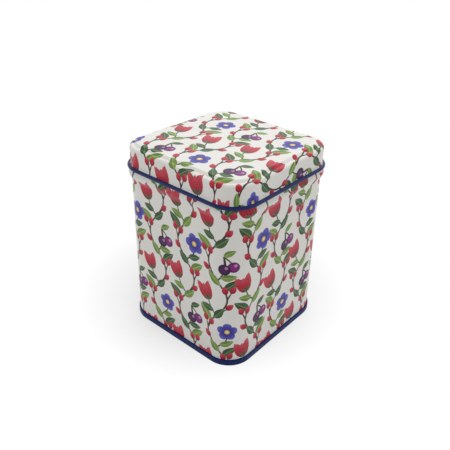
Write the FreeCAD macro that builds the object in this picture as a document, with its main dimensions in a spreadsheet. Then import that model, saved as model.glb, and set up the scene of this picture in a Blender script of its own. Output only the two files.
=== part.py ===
"""Square slip-lid tea caddy in tinplate.

A printed body strip with a stop bead and a rolled top edge, a countersunk base joined to it by a
double seam, and a drawn lid whose skirt slips over the neck and rests on the bead. Millimetres,
+Z up, origin on the floor under the middle of the tin. The visible corner is at +X, -Y.
"""
import FreeCAD
import Part
import Sketcher
import os

# Driving sizes: alias, value in millimetres or degrees, what it is
SIZES = [
    ("body_width", 72.5, "across the outer faces of the wall"),
    ("corner_radius", 12.5, "outer radius of the wall's four corners"),
    ("sheet_thickness", 0.22, "tinplate, all three pieces"),
    ("body_height", 96.2, "floor to the top of the body's rolled edge"),
    ("rolled_edge_radius", 0.7, "outer radius of the body's rolled-in top edge"),
    ("rolled_edge_turn", 250.0, "how far round that edge is rolled"),
    ("neck_height", 12.55, "crest of the stop bead to the top of the rolled edge"),
    ("bead_depth", 1.45, "how far the stop bead stands out of the wall"),
    ("bead_crest_radius", 0.8, "rounding of the bead's crest"),
    ("bead_lower_slope", 25.0, "bead's lower flank, from the vertical"),
    ("bead_upper_slope", 25.0, "bead's upper flank, where the lid comes down, from the vertical"),
    ("lock_seam_width", 5.0, "folded side seam inside the back wall"),
    ("lock_seam_layers", 3.0, "sheets on top of each other in the side seam"),
    ("lock_seam_margin", 1.0, "side seam's distance from the base and the rolled edge"),
    ("seam_height", 3.2, "height of the double seam round the foot"),
    ("seam_gap", 0.03, "room between two layers of the double seam"),
    ("hook_clearance", 0.5, "room between a hook's tip and the bend that it points at"),
    ("seam_bevel", 0.25, "bevel of the double seam's edges"),
    ("base_recess", 2.6, "floor to the underside of the base panel"),
    ("lid_clearance", 0.12, "room between the neck and the lid's skirt, each side"),
    ("lid_seat_gap", 0.15, "room between the lid's curl and the bead's upper flank"),
    ("lid_headroom", 1.0, "room between the rolled edge and the lid's ledge"),
    ("lid_curl_radius", 0.88, "outer radius of the curl round the lid's mouth"),
    ("lid_curl_turn", 250.0, "how far round the curl is rolled"),
    ("lid_shoulder_radius", 1.5, "rounding between the skirt and the ledge"),
    ("lid_ledge_width", 0.65, "flat ledge round the raised panel"),
    ("lid_step_width", 1.4, "width of the slope up to the raised panel"),
    ("lid_step_height", 1.1, "height of the slope up to the raised panel"),
]

# Expressions that several outlines share, all in the sheet's own cells
HALF = "(Sizes.body_width / 2)"
SHEET = "Sizes.sheet_thickness"
GAP = "Sizes.seam_gap"
CREST = "Sizes.bead_crest_radius"
CREST_Z = "(Sizes.body_height - Sizes.neck_height)"
LOWER, UPPER = "Sizes.bead_lower_slope", "Sizes.bead_upper_slope"
CURL = "Sizes.lid_curl_radius"
SKIRT = f"({HALF} + Sizes.lid_clearance + {SHEET})"
LEDGE_Z = f"(Sizes.body_height + Sizes.lid_headroom + {SHEET})"
LID_TOP_Z = f"({LEDGE_Z} + Sizes.lid_step_height)"


def flank_height(slope):
    """Height from the bead's crest to where a flank of that slope meets the wall."""
    run = f"(Sizes.bead_depth - {CREST} * (1 - cos({slope} * 1deg)))"
    return f"({CREST} * sin({slope} * 1deg) + {run} / tan({slope} * 1deg))"


BEAD_FOOT_Z = f"({CREST_Z} - {flank_height(LOWER)})"
NECK_Z = f"({CREST_Z} + {flank_height(UPPER)})"
# Height of the fold in the body's foot that carries its hook, clear of the seam's bevelled edge
HOOK_FOLD_Z = f"(2 * {SHEET} + Sizes.seam_bevel)"

UPRIGHT = FreeCAD.Rotation(FreeCAD.Vector(1, 1, 1), 120)
FLAT = FreeCAD.Rotation()
START, END, CENTRE = 1, 2, 3
ORIGIN = -1
# Flats that a rolled edge and the bead's crest are bent in
ROLL_FLATS, CREST_FLATS = 6, 3
# Which side of its outline a sheet lies on: left of the body's, right of the base's and the lid's
BODY_SIDE, COVER_SIDE = -1, 1


class Outline:
    """A sketch drawn as one chain of lines and arcs, each point bound to the size cells.

    An upright outline lies in the YZ plane, with across = Y and up = Z, and is the section of a
    sheet on the back wall. A flat one lies in the XY plane, with across = X and up = Y.
    """

    def __init__(self, doc, name, rotation):
        self.sketch = doc.addObject("Sketcher::SketchObject", name)
        self.sketch.Placement = FreeCAD.Placement(FreeCAD.Vector(0, 0, 0), rotation)
        self.point = None
        self.first = None
        self.last = None

    def value(self, expression):
        """The number that an expression of size cells gives now."""
        result = self.sketch.evalExpression(expression)
        return float(getattr(result, "Value", result))

    def place(self, across, up):
        """A point of the sketch from two expressions."""
        return FreeCAD.Vector(self.value(across), self.value(up), 0)

    def bind(self, kind, geometry, position, expression):
        """Holds one coordinate of a point at an expression of the size cells."""
        value = self.value(expression)
        index = self.sketch.addConstraint(
            Sketcher.Constraint(kind, ORIGIN, START, geometry, position, value)
        )
        self.sketch.setExpression(f"Constraints[{index}]", expression)

    def join(self, geometry, position):
        """Ties a new segment's beginning to the end of the segment before it."""
        if self.last is None:
            self.first = (geometry, position)
        else:
            self.sketch.addConstraint(
                Sketcher.Constraint("Coincident", *self.last, geometry, position)
            )

    def start(self, across, up):
        """Sets where the chain begins."""
        self.point = (across, up)
        return self

    def line(self, across, up):
        """Draws a straight segment to a point."""
        geometry = self.sketch.addGeometry(
            Part.LineSegment(self.place(*self.point), self.place(across, up))
        )
        if self.last is None:
            self.bind("DistanceX", geometry, START, self.point[0])
            self.bind("DistanceY", geometry, START, self.point[1])
        self.join(geometry, START)
        self.bind("DistanceX", geometry, END, across)
        self.bind("DistanceY", geometry, END, up)
        self.last = (geometry, END)
        self.point = (across, up)
        return self

    def arc(self, centre, end, clockwise=False, bound="DistanceY"):
        """Draws an arc about a centre to an end, of which one coordinate is bound."""
        middle = self.place(*centre)
        begin, finish = self.place(*self.point), self.place(*end)
        low, high = (finish, begin) if clockwise else (begin, finish)
        axis = FreeCAD.Vector(1, 0, 0)
        normal = FreeCAD.Vector(0, 0, 1)
        angles = [axis.getAngle(p - middle) * (-1 if p.y < middle.y else 1) for p in (low, high)]
        circle = Part.Circle(middle, normal, (begin - middle).Length)
        geometry = self.sketch.addGeometry(Part.ArcOfCircle(circle, *angles))
        begins, ends = (END, START) if clockwise else (START, END)
        self.join(geometry, begins)
        self.bind("DistanceX", geometry, CENTRE, centre[0])
        self.bind("DistanceY", geometry, CENTRE, centre[1])
        self.bind(bound, geometry, ends, end[0] if bound == "DistanceX" else end[1])
        self.last = (geometry, ends)
        self.point = end
        return self

    def bevel(self, vertex, size, incoming, outgoing):
        """Runs a line up to a square corner and cuts it off at 45 degrees.

        incoming and outgoing are unit steps (across, up) along the line before and after.
        """
        self.line(*(f"{vertex[i]} {-incoming[i]:+d} * {size}" for i in (0, 1)))
        return self.line(*(f"{vertex[i]} {outgoing[i]:+d} * {size}" for i in (0, 1)))

    def roll(self, centre, radius, begin, turn, flats):
        """Rolls the sheet round a centre in equal flats, from an angle and through a turn."""
        for flat in range(1, flats + 1):
            angle = f"(({begin} + {turn} * {flat} / {flats}) * 1deg)"
            self.line(f"{centre[0]} + {radius} * cos{angle}", f"{centre[1]} + {radius} * sin{angle}")
        return self

    def close(self, across, up):
        """Draws the last straight segment, back to the chain's beginning."""
        geometry = self.sketch.addGeometry(
            Part.LineSegment(self.place(*self.point), self.place(across, up))
        )
        self.join(geometry, START)
        self.sketch.addConstraint(Sketcher.Constraint("Coincident", geometry, END, *self.first))


def size_sheet(doc):
    """Writes the driving sizes into the document's spreadsheet, one aliased cell each."""
    sheet = doc.addObject("Spreadsheet::Sheet", "Sizes")
    for row, (alias, value, meaning) in enumerate(SIZES, start=1):
        sheet.set(f"A{row}", alias)
        sheet.set(f"B{row}", str(value))
        sheet.set(f"C{row}", meaning)
        sheet.setAlias(f"B{row}", alias)
    doc.recompute()


def rounded_square(doc, name, half, radius):
    """A square outline with round corners that begins at the middle of the back side."""
    outline = Outline(doc, name, FLAT)
    run = f"({half} - ({radius}))"
    outline.start("0", half).line(f"-{run}", half)
    outline.arc((f"-{run}", run), (f"-({half})", run))
    outline.line(f"-({half})", f"-{run}")
    outline.arc((f"-{run}", f"-{run}"), (f"-{run}", f"-({half})"), bound="DistanceX")
    outline.line(run, f"-({half})")
    outline.arc((run, f"-{run}"), (half, f"-{run}"))
    outline.line(half, run)
    outline.arc((run, run), (run, half), bound="DistanceX")
    outline.close("0", half)
    return outline.sketch


def sheet_section(doc, outline, name, layers, side):
    """The cut edge of the sheet: the outline thickened to one side by a number of layers."""
    section = doc.addObject("Part::Offset2D", name)
    section.Source = outline.sketch
    section.Mode = "Skin"
    section.Join = "Intersection"
    section.Fill = True
    section.setExpression("Value", f"{side} * {layers} * {SHEET}")
    return section


def swept(doc, name, section, spine):
    """The sheet section carried once round the rounded square."""
    sweep = doc.addObject("Part::Sweep", name)
    sweep.Sections = [section]
    edges = [f"Edge{number}" for number in range(1, len(spine.Geometry) + 1)]
    sweep.Spine = (spine, edges)
    sweep.Solid = True
    sweep.Frenet = False
    return sweep


def extruded(doc, name, base, direction, length):
    """A flat outline drawn out along a direction."""
    solid = doc.addObject("Part::Extrusion", name)
    solid.Base = base
    solid.DirMode = "Custom"
    solid.Dir = direction
    solid.setExpression("LengthFwd", length)
    solid.Solid = True
    return solid


def plate(doc, name, half, underside):
    """A flat panel of sheet, its corners about the wall's own centres, its underside at a height."""
    radius = f"(Sizes.corner_radius - {HALF} + {half})"
    sketch = rounded_square(doc, name + "_outline", half, radius)
    sketch.setExpression("Placement.Base.z", underside)
    return extruded(doc, name, sketch, FreeCAD.Vector(0, 0, 1), SHEET)


def fused(doc, label, base, tool):
    """Two shapes of one piece joined into a single solid."""
    piece = doc.addObject("Part::Fuse", label)
    piece.Base = base
    piece.Tool = tool
    piece.Refine = True
    piece.Label = label
    return piece


def wall_with_bead(outline, top):
    """Carries an outline up the outside of the wall, over the stop bead and on to a height."""
    centre = (f"({HALF} + Sizes.bead_depth - {CREST})", CREST_Z)
    flank_end = (f"{centre[0]} + {CREST} * cos({LOWER} * 1deg)",
                 f"{centre[1]} - {CREST} * sin({LOWER} * 1deg)")
    outline.line(HALF, BEAD_FOOT_Z).line(*flank_end)
    outline.roll(centre, CREST, f"-{LOWER}", f"({LOWER} + {UPPER})", CREST_FLATS)
    return outline.line(HALF, NECK_Z).line(HALF, top)


def body_shell(doc, spine):
    """The body strip: hooked foot, stop bead, rolled-in top edge and folded side seam."""
    hook = f"({HALF} + 2 * {GAP} + {SHEET})"
    roll = "Sizes.rolled_edge_radius"
    roll_centre = (f"({HALF} - {roll})", f"(Sizes.body_height - {roll})")
    outline = Outline(doc, "body_outline", UPRIGHT)
    outline.start(hook, f"Sizes.seam_height - {SHEET} - Sizes.hook_clearance")
    outline.line(hook, HOOK_FOLD_Z).line(HALF, HOOK_FOLD_Z)
    wall_with_bead(outline, roll_centre[1])
    outline.roll(roll_centre, roll, 0, "Sizes.rolled_edge_turn", ROLL_FLATS)
    section = sheet_section(doc, outline, "body_section", 1, BODY_SIDE)
    wall = swept(doc, "body_sweep", section, spine)

    fold = Outline(doc, "lock_seam_outline", UPRIGHT)
    fold.start(HALF, f"Sizes.base_recess + {SHEET} + Sizes.lock_seam_margin")
    wall_with_bead(fold, f"Sizes.body_height - 2 * {roll} - Sizes.lock_seam_margin")
    layers = sheet_section(doc, fold, "lock_seam_section", "Sizes.lock_seam_layers", BODY_SIDE)
    lock_seam = extruded(doc, "lock_seam", layers, FreeCAD.Vector(1, 0, 0), "Sizes.lock_seam_width")
    lock_seam.Symmetric = True
    return fused(doc, "body_shell", wall, lock_seam)


def seamed_base(doc, spine):
    """The base: countersunk panel, chuck wall and the cover hook of the double seam."""
    cover = f"({HALF} + {GAP})"
    outer = f"({HALF} + 3 * {GAP} + 3 * {SHEET})"
    chuck = f"({HALF} - 2 * {SHEET} - {GAP})"
    panel_half = f"({chuck} - {SHEET})"
    bevel = "Sizes.seam_bevel"
    outline = Outline(doc, "base_outline", UPRIGHT)
    outline.start(cover, f"{HOOK_FOLD_Z} + Sizes.hook_clearance")
    outline.line(cover, "Sizes.seam_height")
    outline.bevel((outer, "Sizes.seam_height"), bevel, (1, 0), (0, -1))
    outline.bevel((outer, "0"), bevel, (0, -1), (-1, 0))
    outline.bevel((chuck, "0"), bevel, (-1, 0), (0, 1))
    outline.line(chuck, "Sizes.base_recess").line(panel_half, "Sizes.base_recess")
    section = sheet_section(doc, outline, "base_section", 1, COVER_SIDE)
    rim = swept(doc, "base_sweep", section, spine)
    return fused(doc, "seamed_base", rim, plate(doc, "base_plate", panel_half, "Sizes.base_recess"))


def slip_lid(doc, spine):
    """The drawn lid: raised panel, ledge, skirt and the curl rolled inwards round its mouth."""
    ledge_outer = f"({SKIRT} - Sizes.lid_shoulder_radius)"
    ledge_inner = f"({ledge_outer} - Sizes.lid_ledge_width)"
    panel_edge = f"({ledge_inner} - Sizes.lid_step_width)"
    panel_half = f"({panel_edge} - {SHEET})"
    shoulder_z = f"({LEDGE_Z} - Sizes.lid_shoulder_radius)"
    # The curl's centre lies where its round clears the bead's upper flank by the seat gap
    reach = f"(Sizes.lid_clearance + {CURL})"
    rise = f"({CURL} + Sizes.lid_seat_gap - {reach} * cos({UPPER} * 1deg)) / sin({UPPER} * 1deg)"
    centre = (f"({HALF} + {reach})", f"({NECK_Z} + {rise})")
    curl_top = f"{centre[1]} + {CURL}"
    outline = Outline(doc, "lid_outline", UPRIGHT)
    outline.start(panel_half, LID_TOP_Z).line(panel_edge, LID_TOP_Z).line(ledge_inner, LEDGE_Z)
    outline.line(ledge_outer, LEDGE_Z)
    outline.arc((ledge_outer, shoulder_z), (SKIRT, shoulder_z), clockwise=True)
    outline.line(SKIRT, curl_top).line(centre[0], curl_top)
    outline.roll(centre, CURL, 90, "-Sizes.lid_curl_turn", ROLL_FLATS)
    section = sheet_section(doc, outline, "lid_section", 1, COVER_SIDE)
    rim = swept(doc, "lid_sweep", section, spine)
    return fused(doc, "slip_lid", rim, plate(doc, "lid_plate", panel_half, f"{LID_TOP_Z} - {SHEET}"))


def check(doc, pieces):
    """Stops the build if an object failed or a piece is not one sound solid."""
    for item in doc.Objects:
        if "Invalid" in item.State or "Error" in item.State:
            raise RuntimeError(f"{item.Name} failed: {item.State}")
    for piece in pieces:
        shape = piece.Shape
        if shape.isNull() or not shape.isValid() or len(shape.Solids) != 1:
            raise RuntimeError(f"{piece.Label} is not one sound solid")


def main():
    """Builds the three pieces and writes one STEP file for each."""
    doc = FreeCAD.newDocument("TeaCaddy")
    size_sheet(doc)
    spine = rounded_square(doc, "wall_line", HALF, "Sizes.corner_radius")
    pieces = [body_shell(doc, spine), seamed_base(doc, spine), slip_lid(doc, spine)]
    doc.recompute()
    check(doc, pieces)
    os.makedirs("parts", exist_ok=True)
    for piece in pieces:
        piece.Shape.exportStep(f"parts/{piece.Label}.step")
        box = piece.Shape.BoundBox
        print(f"{piece.Label}: {piece.Shape.Volume:.1f} mm3, z {box.ZMin:.2f} to {box.ZMax:.2f},",
              f"{box.XLength:.2f} by {box.YLength:.2f}")


main()
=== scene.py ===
"""Tea caddy: a square printed tin with a seamed base and a slip lid, dressed for the camera.

The tin is made the way a real one is. Its design is printed on flat sheets, so each sheet is laid
out flat first, with the outline of every printed shape cut into its mesh. The body's sheet is then
bent round the wall and the lid's sheet is drawn to its form. The base is pressed from a plain blank
with Blender's own tools. Sizes are in millimetres, as on the drawing, and meshes in metres.
"""

import bisect
import logging
import math
import random
from abc import ABC, abstractmethod
from dataclasses import dataclass, field
from enum import Enum, IntEnum
from typing import Iterable, NamedTuple, Sequence

import bmesh
import bpy
from mathutils import Matrix, Vector
from mathutils.geometry import delaunay_2d_cdt


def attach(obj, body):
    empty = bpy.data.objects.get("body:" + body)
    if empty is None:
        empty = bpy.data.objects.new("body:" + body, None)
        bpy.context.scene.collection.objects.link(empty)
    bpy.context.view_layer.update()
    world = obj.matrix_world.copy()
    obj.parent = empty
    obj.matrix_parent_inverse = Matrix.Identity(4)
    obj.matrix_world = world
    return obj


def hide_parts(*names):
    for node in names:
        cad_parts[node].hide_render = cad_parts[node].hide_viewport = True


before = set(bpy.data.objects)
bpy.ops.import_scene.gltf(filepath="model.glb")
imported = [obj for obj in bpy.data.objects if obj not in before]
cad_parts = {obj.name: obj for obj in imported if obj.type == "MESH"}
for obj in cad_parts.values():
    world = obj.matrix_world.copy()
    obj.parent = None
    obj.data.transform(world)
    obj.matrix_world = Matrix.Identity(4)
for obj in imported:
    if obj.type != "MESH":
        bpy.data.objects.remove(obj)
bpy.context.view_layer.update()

LOG = logging.getLogger("tea_caddy")
MM = 0.001
UPRIGHT = math.pi / 2
WHITE = (1.0, 1.0, 1.0, 1.0)
# Thickness of the tinplate that all three pieces are made of
SHEET_THICKNESS = 0.22
# UV maps: places within a printed shape, and the flat sheet laid out for baking
SHAPE_MAP, SHEET_MAP = "motif", "OFBake"
# Sockets of a Mix node that mixes colours
MIX_A, MIX_B, MIX_RESULT = 6, 7, 2
# A bend in a section is drawn in steps of this many degrees at most
BEND_STEP = 16.0
# Points nearer than this are one: on a section, on a cut flat sheet, and on a formed sheet
SECTION_NEAR, CUT_NEAR, FORMED_NEAR = 1e-6, 1e-4, 0.0015
# A printed shape that is trimmed to less than this many square millimetres is left off
LEAST_AREA = 0.3

Point = tuple[float, float]
Formed = tuple[Vector, Vector]
Tree = bpy.types.NodeTree
Socket = bpy.types.NodeSocket
Material = bpy.types.Material


def linear(code: str) -> tuple[float, float, float, float]:
    """Turns an sRGB hex colour into the linear one that shader sockets take.

    Args:
        code: The colour, such as "#f1efe9".

    Returns:
        Red, green, blue and an alpha of 1.
    """
    parts = [int(code[i:i + 2], 16) / 255 for i in (1, 3, 5)]
    red, green, blue = (p / 12.92 if p <= 0.04045 else ((p + 0.055) / 1.055) ** 2.4 for p in parts)
    return red, green, blue, 1.0


def add_node(
    tree: Tree, kind: str, inputs: dict[str | int, object] | None = None, **settings: str,
) -> bpy.types.Node:
    """Adds a shader node, sets it and links it.

    Args:
        tree: The material's node tree.
        kind: The node's type name after "ShaderNode".
        inputs: For each input, by name or number, a socket to link from or a value to set.
        **settings: The node's own properties.

    Returns:
        The new node.
    """
    node = tree.nodes.new("ShaderNode" + kind)
    for name, value in settings.items():
        setattr(node, name, value)
    for name, value in (inputs or {}).items():
        if isinstance(value, Socket):
            tree.links.new(value, node.inputs[name])
        else:
            node.inputs[name].default_value = value
    return node


def empty_material(name: str) -> Material:
    """Makes a material with no nodes in it yet.

    Args:
        name: The material's name.

    Returns:
        The new material.
    """
    material = bpy.data.materials.new(name)
    material.use_nodes = True
    material.node_tree.nodes.clear()
    return material


@dataclass(frozen=True)
class Varnish:
    """The clear satin varnish over enamel and print: an even soft gloss with a faint orange peel."""

    roughness: float = 0.36
    roughness_spread: float = 0.05
    shine: float = 0.2
    ior: float = 1.5
    cloud_mm: float = 9.0
    peel_mm: float = 0.7
    peel_depth_mm: float = 0.006
    peel_strength: float = 0.35

    def finish(self, material: Material, colour: Socket) -> None:
        """Puts the varnished surface over a colour.

        Args:
            material: The material to finish.
            colour: The socket that gives the colour under the varnish.
        """
        tree = material.node_tree
        place = add_node(tree, "TexCoord").outputs["Object"]
        cloud = add_node(tree, "TexNoise", {
            "Vector": place, "Scale": 1 / (self.cloud_mm * MM), "Detail": 2.0,
        })
        rough = add_node(tree, "MapRange", {
            "Value": cloud.outputs["Fac"],
            "To Min": self.roughness - self.roughness_spread,
            "To Max": self.roughness + self.roughness_spread,
        })
        peel = add_node(tree, "TexNoise", {
            "Vector": place, "Scale": 1 / (self.peel_mm * MM), "Detail": 1.0,
        })
        bump = add_node(tree, "Bump", {
            "Height": peel.outputs["Fac"], "Strength": self.peel_strength,
            "Distance": self.peel_depth_mm * MM,
        })
        surface = add_node(tree, "BsdfPrincipled", {
            "Base Color": colour, "Roughness": rough.outputs["Result"],
            "Normal": bump.outputs["Normal"], "IOR": self.ior, "Specular IOR Level": self.shine,
        })
        add_node(tree, "OutputMaterial", {"Surface": surface.outputs["BSDF"]})


@dataclass(frozen=True)
class Coat:
    """A plain coat of colour over the whole sheet, such as the white enamel or the navy lacquer.

    To the eye it is one colour that drifts slightly in tone, as a roller-coated film does.
    """

    name: str
    colour: str
    drift: str
    varnish: Varnish = Varnish()
    drift_mm: float = 14.0

    def material(self) -> Material:
        """Makes the coat's material under its varnish.

        Returns:
            The material.
        """
        material = empty_material(self.name)
        tree = material.node_tree
        cloud = add_node(tree, "TexNoise", {
            "Vector": add_node(tree, "TexCoord").outputs["Object"],
            "Scale": 1 / (self.drift_mm * MM), "Detail": 3.0,
        })
        tone = add_node(tree, "Mix", {
            "Factor": cloud.outputs["Fac"], MIX_A: linear(self.colour), MIX_B: linear(self.drift),
        }, data_type="RGBA")
        self.varnish.finish(material, tone.outputs[MIX_RESULT])
        return material


class Drawing(Enum):
    """How the tones of a printed shape are laid within its outline."""

    LEAF = "leaf"
    PETAL = "petal"
    BERRY = "berry"
    EYE = "eye"
    STEM = "stem"


class Wash(NamedTuple):
    """A tone laid over an ink: none where its value begins, and at its strength where it is full."""

    tone: str
    value: Socket
    begins: float
    full: float
    strength: float


@dataclass(frozen=True)
class Ink:
    """An offset-printed ink under the varnish, with the tones that the artwork gives its shapes."""

    name: str
    drawing: Drawing
    base: str
    deep: str
    pale: str
    varnish: Varnish = Varnish()
    grain_mm: float = 2.5

    def material(self) -> Material:
        """Makes the ink's material, its tones laid out on the shape's own map.

        Returns:
            The material.
        """
        material = empty_material(self.name)
        tree = material.node_tree
        colour = linear(self.base)
        for wash in self.washes(tree, add_node(tree, "UVMap", uv_map=SHAPE_MAP).outputs["UV"]):
            share = add_node(tree, "MapRange", {
                "Value": wash.value, "From Min": wash.begins, "From Max": wash.full,
                "To Min": 0.0, "To Max": wash.strength,
            }, interpolation_type="SMOOTHSTEP")
            colour = add_node(tree, "Mix", {
                "Factor": share.outputs["Result"], MIX_A: colour, MIX_B: linear(wash.tone),
            }, data_type="RGBA").outputs[MIX_RESULT]
        self.varnish.finish(material, colour)
        return material

    def washes(self, tree: Tree, spot: Socket) -> list[Wash]:
        """Lists the tones laid over the base.

        Args:
            tree: The material's node tree.
            spot: The place within the shape: across it from -1 to 1, and along it from 0 to 1.

        Returns:
            The tones, in the order they are laid.
        """
        if self.drawing is Drawing.STEM:
            grain = add_node(tree, "TexNoise", {
                "Vector": add_node(tree, "TexCoord").outputs["Object"],
                "Scale": 1 / (self.grain_mm * MM), "Detail": 3.0,
            }).outputs["Fac"]
            return [Wash(self.deep, grain, 0.45, 0.65, 0.6), Wash(self.pale, grain, 0.42, 0.30, 0.5)]
        if self.drawing in (Drawing.BERRY, Drawing.EYE):
            reach = add_node(tree, "VectorMath", {0: spot}, operation="LENGTH").outputs["Value"]
            if self.drawing is Drawing.EYE:
                return [Wash(self.deep, reach, 0.45, 0.95, 0.9), Wash(self.pale, reach, 0.40, 0.20, 0.8)]
            gleam_at = (-0.32, 0.34, 0.0)
            gleam = add_node(tree, "VectorMath", {0: spot, 1: gleam_at}, operation="DISTANCE")
            return [
                Wash(self.deep, reach, 0.35, 1.0, 0.9),
                Wash(self.pale, gleam.outputs["Value"], 0.34, 0.20, 0.9),
            ]
        axes = add_node(tree, "SeparateXYZ", {"Vector": spot}).outputs
        across, along = axes["X"], axes["Y"]
        if self.drawing is Drawing.PETAL:
            ray_width, ray_fade = 0.28, 0.22
            ray = add_node(tree, "Math", {0: across, 1: ray_width}, operation="PINGPONG")
            faded = add_node(tree, "Math", {
                0: along, 1: ray_fade, 2: ray.outputs[0],
            }, operation="MULTIPLY_ADD")
            return [
                Wash(self.pale, along, 0.45, 1.0, 0.55),
                Wash(self.deep, along, 0.50, 0.05, 0.85),
                Wash(self.deep, faded.outputs[0], 0.20, 0.13, 0.55),
            ]
        veins, first_vein, vein_slant, half_vein = 7.0, -0.2, -1.7, 0.5
        edge = add_node(tree, "Math", {0: across}, operation="ABSOLUTE").outputs[0]
        climb = add_node(tree, "Math", {0: along, 1: veins, 2: first_vein}, operation="MULTIPLY_ADD")
        slant = add_node(tree, "Math", {
            0: edge, 1: vein_slant, 2: climb.outputs[0],
        }, operation="MULTIPLY_ADD")
        vein = add_node(tree, "Math", {0: slant.outputs[0], 1: half_vein}, operation="PINGPONG")
        return [
            Wash(self.deep, across, -0.06, 0.06, 0.75),
            Wash(self.pale, vein.outputs[0], 0.10, 0.03, 0.40),
            Wash(self.pale, edge, 0.15, 0.06, 0.85),
        ]


@dataclass(frozen=True)
class Tinplate:
    """Bare bright tinplate inside the tin: a soft grey metal with the fine streaks of the mill."""

    name: str = "tinplate_bright_rolled"
    colour: str = "#cfccc4"
    streak: str = "#bdbab2"
    streak_mm: float = 0.5
    streak_squeeze: float = 0.03
    smoothest: float = 0.26
    roughest: float = 0.40

    def material(self) -> Material:
        """Makes the tinplate's material.

        Returns:
            The material.
        """
        material = empty_material(self.name)
        tree = material.node_tree
        stretched = add_node(tree, "Mapping", {
            "Vector": add_node(tree, "TexCoord").outputs["Object"],
            "Scale": (1.0, 1.0, self.streak_squeeze),
        })
        streaks = add_node(tree, "TexNoise", {
            "Vector": stretched.outputs["Vector"], "Scale": 1 / (self.streak_mm * MM), "Detail": 3.0,
        }).outputs["Fac"]
        tone = add_node(tree, "Mix", {
            "Factor": streaks, MIX_A: linear(self.colour), MIX_B: linear(self.streak),
        }, data_type="RGBA")
        rough = add_node(tree, "MapRange", {
            "Value": streaks, "To Min": self.smoothest, "To Max": self.roughest,
        })
        surface = add_node(tree, "BsdfPrincipled", {
            "Base Color": tone.outputs[MIX_RESULT], "Roughness": rough.outputs["Result"], "Metallic": 1.0,
        })
        add_node(tree, "OutputMaterial", {"Surface": surface.outputs["BSDF"]})
        return material


Finish = Coat | Ink | Tinplate

# The ground of the print: a warm white that looks even, neither cream nor grey
ENAMEL = Coat("enamel_warm_white_rolled", "#f3f1ec", "#ecebe5")
# The printed edges of lid and body: a deep navy with the gloss of the varnish
NAVY = Coat("lacquer_navy_rolled", "#142a66", "#10235a")
# The base is cut from another plate, whose navy lacquer looks duller than varnish
NAVY_PLATE = Coat("lacquer_navy_plate", "#142a66", "#10235a", Varnish(roughness=0.42, shine=0.11))
TINPLATE = Tinplate()
# The inks: each has a base tone, a deep one for its shade and a pale one for veins and gleams
LEAF_GREEN = Ink("ink_leaf_green", Drawing.LEAF, "#3f5f3d", "#2a4530", "#74935a")
MOSS_GREEN = Ink("ink_moss_green", Drawing.LEAF, "#7d9a45", "#5f7f3a", "#a9c079")
TULIP_RED = Ink("ink_tulip_red", Drawing.PETAL, "#c02c40", "#8a1830", "#dd6470")
TULIP_CRIMSON = Ink("ink_tulip_crimson", Drawing.PETAL, "#a3213a", "#6f1029", "#c74b5b")
VIOLET = Ink("ink_violet_blue", Drawing.PETAL, "#4a44a8", "#2c2678", "#7c77cf")
PLUM = Ink("ink_plum", Drawing.BERRY, "#4c2058", "#2a0f33", "#b984b8")
MAGENTA = Ink("ink_magenta", Drawing.BERRY, "#8c2c82", "#581553", "#d596c9")
STRAW = Ink("ink_straw_yellow", Drawing.EYE, "#ecd58a", "#c99a45", "#fbf1c8")
BARK = Ink("ink_bark_brown", Drawing.STEM, "#4a3a34", "#33272a", "#5f4d45")

SHEET_FINISHES: tuple[Finish, ...] = (
    ENAMEL, NAVY, NAVY_PLATE, TINPLATE, LEAF_GREEN, MOSS_GREEN, TULIP_RED, TULIP_CRIMSON, VIOLET, PLUM,
    MAGENTA, STRAW, BARK,
)


class Station(NamedTuple):
    """A place on a sheet's section: how far outside the wall, how high, and which way it faces."""

    out: float
    up: float
    face_out: float
    face_up: float


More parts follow.
